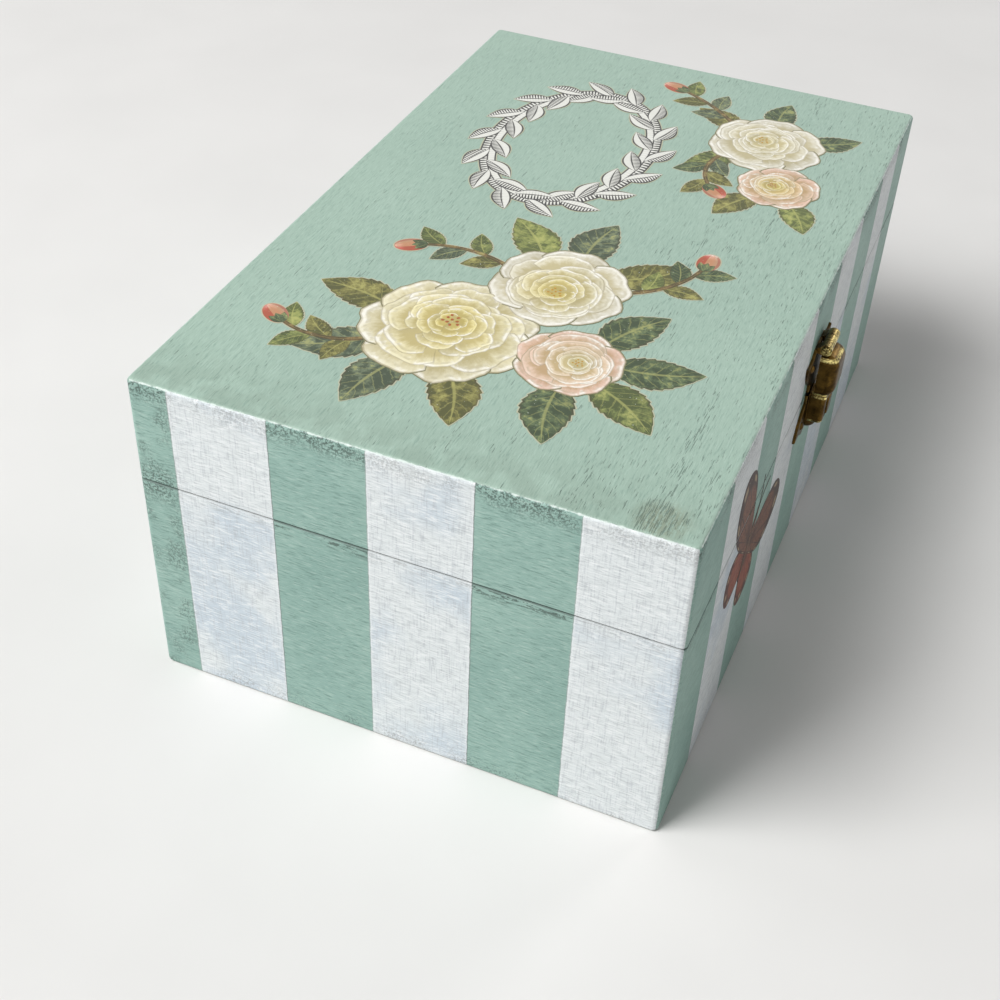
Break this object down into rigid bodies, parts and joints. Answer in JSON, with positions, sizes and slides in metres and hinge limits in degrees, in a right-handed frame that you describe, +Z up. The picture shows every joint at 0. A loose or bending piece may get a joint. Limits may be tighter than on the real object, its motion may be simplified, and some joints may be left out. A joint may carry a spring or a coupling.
{
  "type": "hinged wooden box",
  "caption": "Rectangular wooden box with a hinged lid, surface hinges on the back and a swinging hasp on the front, painted in vertical stripes with paper cut-outs.",
  "frame": {"origin": "centre of the underside of the box", "axes": "+X along the length, +Y from the front with the hasp to the back with the hinges, +Z up"},
  "size_m": [0.222, 0.1511, 0.0941],
  "materials": {
    "painted_stripes": "brushed matt paint in green and white stripes, rubbed and waxed at the edges, bare wood inside",
    "painted_top": "matt pale green paint with open grain",
    "bare_bottom": "bare sanded wood",
    "antique_brass": "dark antique brass, polished on the high spots",
    "steel_brad": "plain steel",
    "flower_paper": "printed paper under matt varnish",
    "engraved_paper": "paper printed with black engraving under matt varnish",
    "butterfly_paper": "printed paper under matt varnish"
  },
  "bodies": {
    "base": {"base_back_board": "painted_stripes", "base_bottom_panel": "bare_bottom", "base_front_board": "painted_stripes", "base_left_board": "painted_stripes", "base_paper_butterfly_bottom": "butterfly_paper", "base_right_board": "painted_stripes", "bottom_brads": "steel_brad", "hasp_base_nails": "antique_brass", "hasp_base_plate": "antique_brass", "hinge_base_screws": "antique_brass", "hinge_left_base_leaf": "antique_brass", "hinge_left_pin": "antique_brass", "hinge_right_base_leaf": "antique_brass", "hinge_right_pin": "antique_brass"},
    "lid": {"lid_back_board": "painted_stripes", "lid_front_board": "painted_stripes", "lid_left_board": "painted_stripes", "lid_paper_butterfly_top": "butterfly_paper", "lid_paper_left_bouquet": "flower_paper", "lid_paper_right_bouquet": "flower_paper", "lid_paper_wreath": "engraved_paper", "lid_right_board": "painted_stripes", "lid_top_panel": "painted_top", "hinge_left_lid_leaf": "antique_brass", "hinge_right_lid_leaf": "antique_brass", "hinge_lid_screws": "antique_brass", "hasp_lid_plate": "antique_brass", "hasp_lid_nails": "antique_brass", "hasp_pin": "antique_brass"},
    "hasp": {"hasp": "antique_brass"}
  },
  "joints": [
    {"name": "lid_hinge", "type": "hinge", "parent": "base", "child": "lid", "pos_m": [0, 0.072, 0.0641], "axis": [-1, 0, 0], "range_deg": [0, 180]},
    {"name": "hasp_hinge", "type": "hinge", "parent": "lid", "child": "hasp", "pos_m": [0, -0.0729, 0.0783], "axis": [-1, 0, 0], "range_deg": [0, 150]}
  ]
}
